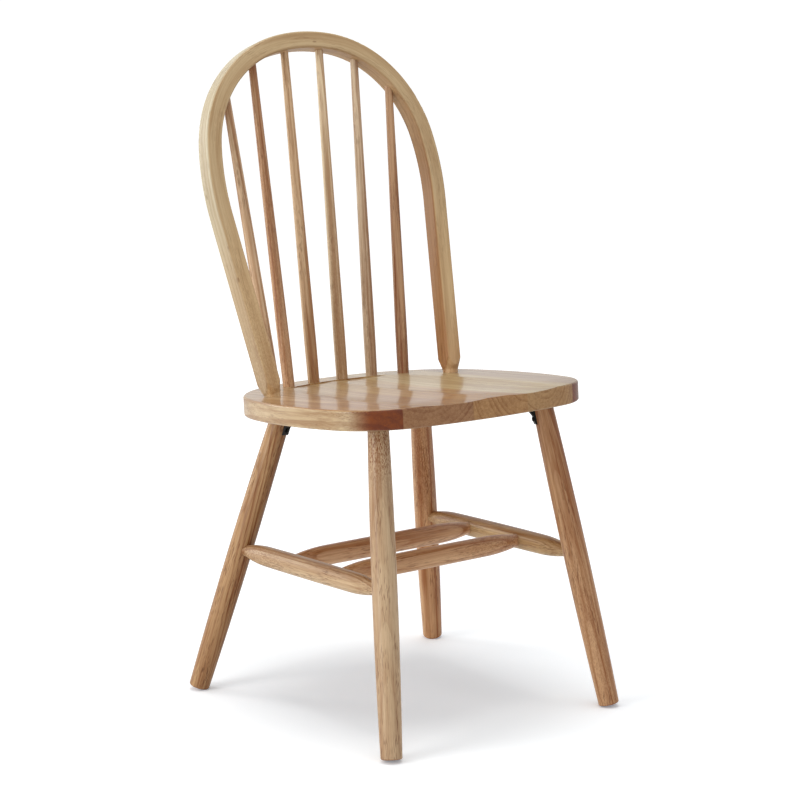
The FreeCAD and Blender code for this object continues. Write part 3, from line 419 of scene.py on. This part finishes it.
def end_grain(n, colour, axis, look):
    """Tinted wood where the surface cuts across the grain."""
    normal = n.add("ShaderNodeTexCoord").outputs["Normal"]
    facing = n.vector("DOT_PRODUCT", normal, tuple(axis))
    tint = look.end_tint + (1.0,)
    if look.back_tint:
        tint = n.mix(n.math("GREATER_THAN", facing, 0.0), tint, look.back_tint + (1.0,))
    return n.tinted(n.ease(n.math("ABSOLUTE", facing), *look.end_turn), colour, tint)


def front_fall_and_shade(n, colour, tint):
    """The seat's top falls away softly towards its front edge, and a painted shade darkens its wood,
    growing towards the front, to damp its sheen.
    """
    place = n.add("ShaderNodeTexCoord").outputs
    y = n.split(place["Object"])[1]
    past = n.math("MAXIMUM", n.math("SUBTRACT", FALL_START, y), 0.0)
    drop = n.math("MULTIPLY", n.math("MULTIPLY", past, past), -FALL_BEND / 2)
    normal = n.add("ShaderNodeBump", {"Strength": 1.0, "Distance": 1.0, "Height": drop}).outputs[0]
    up = n.ease(n.split(place["Normal"])[2], *SHADE_FACING)
    share = n.math("MULTIPLY", up, n.ease(y, *SHADE_REACH))
    return normal, n.tinted(share, colour, tint + (1.0,))


def lacquered(n, colour, height, gloss, normal=None):
    """Wood under clear satin lacquer, which fills most of the grain."""
    bump = n.add("ShaderNodeBump", {"Height": height, **GRAIN_BUMP})
    if normal:
        n.plug(normal, bump.inputs["Normal"])
    inputs = {"Base Color": colour, "Normal": bump.outputs[0], "Coat Weight": gloss, **LACQUER}
    return n.finish(n.add("ShaderNodeBsdfPrincipled", inputs).outputs[0])


def local_place(n, centre, turn):
    """Object coordinates seen from a piece's own frame."""
    inputs = {
        "Vector": n.add("ShaderNodeTexCoord").outputs["Object"],
        "Location": tuple(centre),
        "Rotation": tuple(turn),
    }
    return n.add("ShaderNodeMapping", inputs, vector_type="TEXTURE").outputs[0]


def straight_wood(name, centre, axis, back, look):
    """Wood whose grain runs straight along an axis, Z in its own frame, with Y towards back."""
    n = new_material(name)
    along = Vector(axis).normalized()
    away = (Vector(back) - along * along.dot(Vector(back))).normalized()
    turn = Matrix((away.cross(along), away, along)).transposed().to_euler()
    colour, height = wood_colour(n, local_place(n, centre, turn), look)
    colour = end_grain(n, colour, along, look)
    normal = None
    if look.front_painted_shade:
        normal, colour = front_fall_and_shade(n, colour, look.front_painted_shade)
    return lacquered(n, colour, height, look.gloss, normal)


def bow_place(n):
    """Coordinates that follow the bow: off its centreline, through its depth, and along it.

    Along counts from the middle of the top, and is negative at the sitter's right.
    """
    x, depth, up = n.split(local_place(n, BOW_FOOT, Euler((-BOW_RAKE, 0.0, 0.0))))
    across = n.math("ABSOLUTE", x)
    lean = BOW_LEAN
    bent = BOW_LEAN - BOW_SIDE_TURN
    post_end = Vector((BOW_FOOT_HALF + BOW_POST * math.sin(lean), BOW_POST * math.cos(lean)))
    side = post_end + BOW_SIDE_BEND * Vector((-math.cos(lean), math.sin(lean)))
    side_end = side + BOW_SIDE_BEND * Vector((math.cos(bent), -math.sin(bent)))
    shoulder = side_end + BOW_SHOULDER_BEND * Vector((-math.cos(bent), math.sin(bent)))
    step = BOW_TOP_BEND - BOW_SHOULDER_BEND
    top = Vector((0.0, shoulder.y - math.sqrt(step ** 2 - shoulder.x ** 2)))
    shoulder_start = math.asin(shoulder.x / step)
    side_start = math.pi / 2 + bent
    post_start = math.pi / 2 + lean

    def polar(centre, bend):
        """The turn about a bend's centre, from straight up, and the distance outside the bend."""
        off_x = n.math("SUBTRACT", across, centre.x)
        off_y = n.math("SUBTRACT", up, centre.y)
        angle = n.math("ARCTAN2", off_x, off_y)
        out = n.math("SUBTRACT", n.vector("LENGTH", n.joined(off_x, off_y, 0.0)), bend)
        return angle, out

    top_angle, out = polar(top, BOW_TOP_BEND)
    shoulder_angle, shoulder_out = polar(shoulder, BOW_SHOULDER_BEND)
    side_angle, side_out = polar(side, BOW_SIDE_BEND)
    off_x = n.math("SUBTRACT", across, post_end.x)
    off_y = n.math("SUBTRACT", up, post_end.y)
    post_out = n.math(
        "SUBTRACT", n.math("MULTIPLY", off_x, math.cos(lean)), n.math("MULTIPLY", off_y, math.sin(lean))
    )
    post_along = n.math(
        "ADD", n.math("MULTIPLY", off_x, -math.sin(lean)), n.math("MULTIPLY", off_y, -math.cos(lean))
    )
    along = n.math("MULTIPLY", top_angle, BOW_TOP_BEND)
    shoulder_run = BOW_TOP_BEND * shoulder_start
    side_run = shoulder_run + BOW_SHOULDER_BEND * (side_start - shoulder_start)
    post_run = side_run + BOW_SIDE_BEND * BOW_SIDE_TURN
    bends = (
        (shoulder_angle, shoulder_out, shoulder_start, BOW_SHOULDER_BEND, shoulder_run),
        (side_angle, side_out, side_start, BOW_SIDE_BEND, side_run),
    )
    for angle, next_out, start, bend, run in bends:
        beyond = n.math("GREATER_THAN", angle, start)
        next_along = n.math("MULTIPLY_ADD", n.math("SUBTRACT", angle, start), bend, run)
        along = n.chosen(beyond, along, next_along)
        out = n.chosen(beyond, out, next_out)
    beyond = n.math("GREATER_THAN", side_angle, post_start)
    along = n.chosen(beyond, along, n.math("ADD", post_along, post_run))
    out = n.chosen(beyond, out, post_out)
    return n.joined(out, depth, n.math("MULTIPLY", along, n.math("SIGN", x)))


def long_axis(node):
    """A slim piece's middle and the direction it runs in, from its surface."""
    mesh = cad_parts[node].data
    count = len(mesh.polygons)
    centres = np.zeros(count * 3)
    areas = np.zeros(count)
    mesh.polygons.foreach_get("center", centres)
    mesh.polygons.foreach_get("area", areas)
    centres = centres.reshape(-1, 3)
    middle = (centres * areas[:, None]).sum(0) / areas.sum()
    spread = (centres - middle).T @ ((centres - middle) * areas[:, None])
    direction = np.linalg.eigh(spread)[1][:, -1]
    if direction @ FORWARD < 0:
        direction = -direction
    return Vector(middle), Vector(direction)


def wear(node, material):
    """Give a CAD piece its material."""
    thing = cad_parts[node]
    thing.data.materials.clear()
    thing.data.materials.append(material)


def wear_wood(node, look):
    """Give a slim CAD piece its wood, with the grain along it."""
    middle, axis = long_axis(node)
    wear(node, straight_wood(node + "_wood", middle, axis, AWAY, look))


def dress_seat():
    """Five boards of different woods, the one at the sitter's right with a rusty front corner."""
    grain = (0.0, math.cos(SEAT_SLOPE), -math.sin(SEAT_SLOPE))
    above = (0.0, 0.0, 1.0)
    rusty = (0.41, 0.117, 0.004)
    greyish = (0.83, 0.61, 0.53)
    warm = (1.02, 0.79, 0.64)
    sandy = (0.95, 0.71, 0.53)
    dull = (0.55, 0.16, 0.03)
    # Painted shade on the boards' tops, warm on the first three and pale on the last two, that damps
    # their sheen
    warm_front_shade = (0.79, 0.61, 0.44)
    pale_front_shade = (0.86, 0.82, 0.70)
    looks = [
        Wood(
            *shades(181, 154, 116, 28), seed=1.0, pith=(0.03, -0.09), tilt=(0.0, 0.05), ring=0.014,
            wander=0.035, knots=0.4, end_tint=rusty, end_turn=(0.36, 0.69), back_tint=sandy,
            front_painted_shade=warm_front_shade,
        ),
        Wood(
            *shades(168, 139, 98, 28), seed=2.0, pith=(0.02, 0.06), ring=0.008, end_tint=greyish,
            front_painted_shade=warm_front_shade,
        ),
        Wood(
            *shades(171, 143, 98, 26), seed=3.0, pith=(-0.05, 0.04), ring=0.008, end_tint=warm,
            front_painted_shade=warm_front_shade,
        ),
        # The fourth board darkens towards the seat's end with painted side shade, where the end turns
        # from the light
        Wood(
            *shades(174, 152, 112, 28), seed=4.0, pith=(0.015, 0.03), ring=0.007, painted_side_shade=-0.04,
            end_tint=sandy, front_painted_shade=pale_front_shade,
        ),
        Wood(
            *shades(152, 127, 98, 28), seed=5.0, pith=(-0.03, 0.07), ring=0.007, end_tint=dull,
            front_painted_shade=pale_front_shade,
        ),
    ]
    for number, look in enumerate(looks, start=1):
        look.rings = 0.75
        look.streaks = 0.7
        look.gloss = 0.42
        node = "seat_board_%d" % number
        low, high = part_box(node)
        middle = (Vector(low) + Vector(high)) / 2
        wear(node, straight_wood(node + "_wood", middle, grain, above, look))


def dress_bow():
    """The bow: outer face paler and bluer on the top and a little darker down the posts, inner face
    browner, and its posts' fronts warmer.
    """
    post_front = (1.14, 1.10, 1.05, 1.0)
    left_foot_front = (1.08, 0.95, 0.87, 1.0)
    top_outside = (0.96, 1.15, 1.42, 1.0)
    post_outside = (0.88, 0.90, 0.96, 1.0)
    top_inside = (0.93, 0.85, 0.80, 1.0)
    right_inside = (0.80, 0.65, 0.52, 1.0)
    left_inside = (0.60, 0.43, 0.29, 1.0)
    left_foot_inside = (0.67, 0.52, 0.41, 1.0)
    n = new_material("bow_wood")
    look = Wood(
        *shades(190, 163, 123, 24), seed=6.0, pith=(0.02, 0.06), ring=0.006, streaks=0.65,
        flecks=0.4, fleck_zone=(-0.36, -0.58), knots=0.6, gloss=0.04,
    )
    place = bow_place(n)
    colour, height = wood_colour(n, place, look)
    out, _, along = n.split(place)
    distance = n.math("ABSOLUTE", along)
    post = n.ease(distance, *POST_ZONE)
    not_outside = n.ease(out, BOW_FACE_FULL, BOW_FACE_START)
    front = n.mix(n.ease(along, *FOOT_FRONT_ZONE), post_front, left_foot_front)
    colour = n.tinted(n.math("MULTIPLY", post, not_outside), colour, front)
    outside = n.mix(post, top_outside, post_outside)
    colour = n.tinted(n.ease(out, BOW_FACE_START, BOW_FACE_FULL), colour, outside)
    # Painted shade: the sitter's left post's inner face is darker mid-post than at its foot, to damp
    # its sheen there
    left = n.mix(n.ease(along, *FOOT_INNER_ZONE), left_inside, left_foot_inside)
    post_inside = n.mix(n.math("GREATER_THAN", along, 0.0), right_inside, left)
    inside = n.mix(n.ease(distance, *POST_INNER_ZONE), top_inside, post_inside)
    colour = n.tinted(n.ease(out, -BOW_FACE_START, -BOW_FACE_FULL), colour, inside)
    wear("bow", lacquered(n, colour, height, look.gloss))


def dress_spindles():
    """Six spindles, from the sitter's right to the left, each turned from another stick."""
    looks = [
        Wood(*shades(201, 169, 133, 42), seed=11.0, flecks=0.5, fleck_zone=(0.0, -0.2)),
        Wood(
            *shades(188, 146, 107, 46), seed=12.0, darker_foot=-0.9, flecks=0.3, fleck_zone=(0.25, 0.0)
        ),
        Wood(*shades(206, 171, 131, 44), seed=13.0, painted_side_shade=0.7, darker_foot=0.7),
        Wood(
            *shades(220, 194, 157, 44), seed=14.0, painted_side_shade=0.7, darker_foot=0.7, flecks=0.3,
            fleck_zone=(0.15, -0.1),
        ),
        Wood(
            *shades(203, 176, 144, 44), seed=15.0, painted_side_shade=0.6, darker_foot=0.7, flecks=0.2,
            fleck_zone=(-0.02, -0.1),
        ),
        Wood(
            *shades(172, 131, 94, 48), seed=16.0, darker_foot=0.7, flecks=0.3, fleck_zone=(-0.1, -0.2)
        ),
    ]
    for number, look in enumerate(looks, start=1):
        look.ring = 0.004
        look.rings = 0.9
        look.streaks = 1.2
        look.pores = 0.7
        look.gloss = 0.12
        wear_wood("spindle_%d" % number, look)


def dress_base():
    """The legs and stretchers, each of its own wood."""
    looks = {
        "leg_front_right": Wood(
            *shades(185, 155, 120, 36), seed=21.0, pith=(0.002, 0.05), tilt=(0.0, 0.065), ring=0.008,
            rings=0.45, painted_side_shade=-0.08, flecks=1.0, fleck_zone=(0.11, 0.18), knots=0.8,
        ),
        # Darker up towards the seat, a painted shade under the seat
        "leg_front_left": Wood(
            *shades(182, 137, 95, 44), seed=22.0, pith=(0.01, 0.05), tilt=(0.0, 0.04), rings=0.5,
            streaks=0.75, painted_side_shade=0.2, darker_foot=-0.5, flecks=0.3, fleck_zone=(0.1, -0.1),
        ),
        "leg_back_right": Wood(
            *shades(159, 118, 75, 50), seed=23.0, pith=(0.03, 0.03), tilt=(0.0, 0.05), rings=0.9,
            painted_side_shade=0.15,
        ),
        "leg_back_left": Wood(
            *shades(191, 144, 100, 42), seed=24.0, pith=(0.02, 0.04), rings=0.8, painted_side_shade=0.2,
            darker_foot=0.5, flecks=0.5, fleck_zone=(-0.1, 0.1), knots=0.5,
        ),
        "side_stretcher_right": Wood(
            *shades(187, 157, 120, 42), seed=25.0, painted_side_shade=0.25, flecks=0.6, knots=0.5
        ),
        "side_stretcher_left": Wood(
            *shades(178, 144, 100, 46), seed=26.0, painted_side_shade=0.25, flecks=0.4
        ),
        "cross_stretcher_front": Wood(
            *shades(201, 157, 115, 42), seed=27.0, rings=0.8, painted_side_shade=-0.2, flecks=0.5
        ),
        "cross_stretcher_back": Wood(
            *shades(201, 158, 118, 40), seed=28.0, rings=0.7, painted_side_shade=-0.3
        ),
    }
    for node, look in looks.items():
        look.pores = 0.9
        look.gloss = 0.12
        wear_wood(node, look)


def dress_metal():
    """Black coated steel with a fine grit, on the brackets and their screws."""
    n = new_material("black_steel")
    grit = n.noise(n.add("ShaderNodeTexCoord").outputs["Object"], GRIT)["Fac"]
    bump = n.add("ShaderNodeBump", {"Height": grit, **STEEL_BUMP})
    dark, light = (linear(*shade) for shade in STEEL_SHADES)
    inputs = {"Base Color": n.mix(grit, dark, light), "Normal": bump.outputs[0], **STEEL}
    material = n.finish(n.add("ShaderNodeBsdfPrincipled", inputs).outputs[0])
    for end in ("front", "back"):
        for side in ("right", "left"):
            wear("bracket_%s_%s" % (end, side), material)
    wear("bracket_screws", material)


def make_camera():
    camera = bpy.data.objects.new("camera", bpy.data.cameras.new("camera"))
    bpy.context.scene.collection.objects.link(camera)
    camera.location = CAMERA_PLACE
    camera.rotation_euler = (
        math.radians(90 - CAMERA_ELEVATION), 0.0, math.radians(CAMERA_AZIMUTH)
    )
    camera.data.sensor_width = SENSOR
    camera.data.lens = FOCAL_PIXELS / PICTURE_PIXELS * SENSOR
    camera.data.clip_end = CAMERA_REACH
    bpy.context.scene.camera = camera


def make_world():
    """Soft light from all sides, in front of which the camera sees plain white."""
    n = Nodes(bpy.data.worlds.new("studio"))
    bpy.context.scene.world = n.owner
    soft = n.add("ShaderNodeBackground", {"Color": WHITE, "Strength": SKY_STRENGTH}).outputs[0]
    white = n.add("ShaderNodeBackground", {"Color": WHITE, "Strength": SEEN_STRENGTH}).outputs[0]
    both = n.add("ShaderNodeMixShader", {0: n.seen(), 1: soft, 2: white}).outputs[0]
    n.finish(both, "ShaderNodeOutputWorld")


def make_floor():
    """A floor that is pale to the chair's light, and white with the chair's shadow to the camera,
    deepened by a painted shadow under the chair.
    """
    mesh = bpy.data.meshes.new("floor")
    corners = [(x * FLOOR_HALF, y * FLOOR_HALF, 0) for x, y in ((-1, -1), (1, -1), (1, 1), (-1, 1))]
    mesh.from_pydata(corners, [], [(0, 1, 2, 3)])
    floor = bpy.data.objects.new("floor", mesh)
    bpy.context.scene.collection.objects.link(floor)
    n = new_material("floor_white")
    pale = n.mix(n.seen(), FLOOR_LIT, FLOOR_SEEN)
    diffuse = n.add("ShaderNodeBsdfDiffuse", {"Color": pale}).outputs[0]
    distance = n.vector("LENGTH", n.add("ShaderNodeTexCoord").outputs["Object"])
    # Painted shadow: the camera's glow is weak and bluish under the chair, and grows beside it
    glow = n.mix(n.ease(distance, *PAINTED_SHADOW_REACH), PAINTED_SHADOW_GLOW, GLOW_BESIDE)
    glow = n.mix(n.ease(distance, *FAR_REACH), glow, GLOW_FAR)
    camera_ray = n.add("ShaderNodeLightPath").outputs["Is Camera Ray"]
    glow = n.add("ShaderNodeEmission", {"Color": glow, "Strength": camera_ray}).outputs[0]
    both = n.add("ShaderNodeAddShader", {0: diffuse, 1: glow}).outputs[0]
    mesh.materials.append(n.finish(both))


def make_lamp(name, place, aim, width, height, power):
    data = bpy.data.lights.new(name, "AREA")
    data.shape = "RECTANGLE"
    data.size = width
    data.size_y = height
    data.energy = power
    lamp = bpy.data.objects.new(name, data)
    lamp.location = place
    lamp.rotation_euler = (Vector(aim) - Vector(place)).to_track_quat("-Z", "Y").to_euler()
    bpy.context.scene.collection.objects.link(lamp)


def make_studio():
    bpy.context.scene.view_settings.view_transform = "Standard"
    make_world()
    make_floor()
    for name, lamp in LAMPS.items():
        make_lamp(name, *lamp)


make_camera()
make_studio()
dress_seat()
dress_bow()
dress_spindles()
dress_base()
dress_metal()
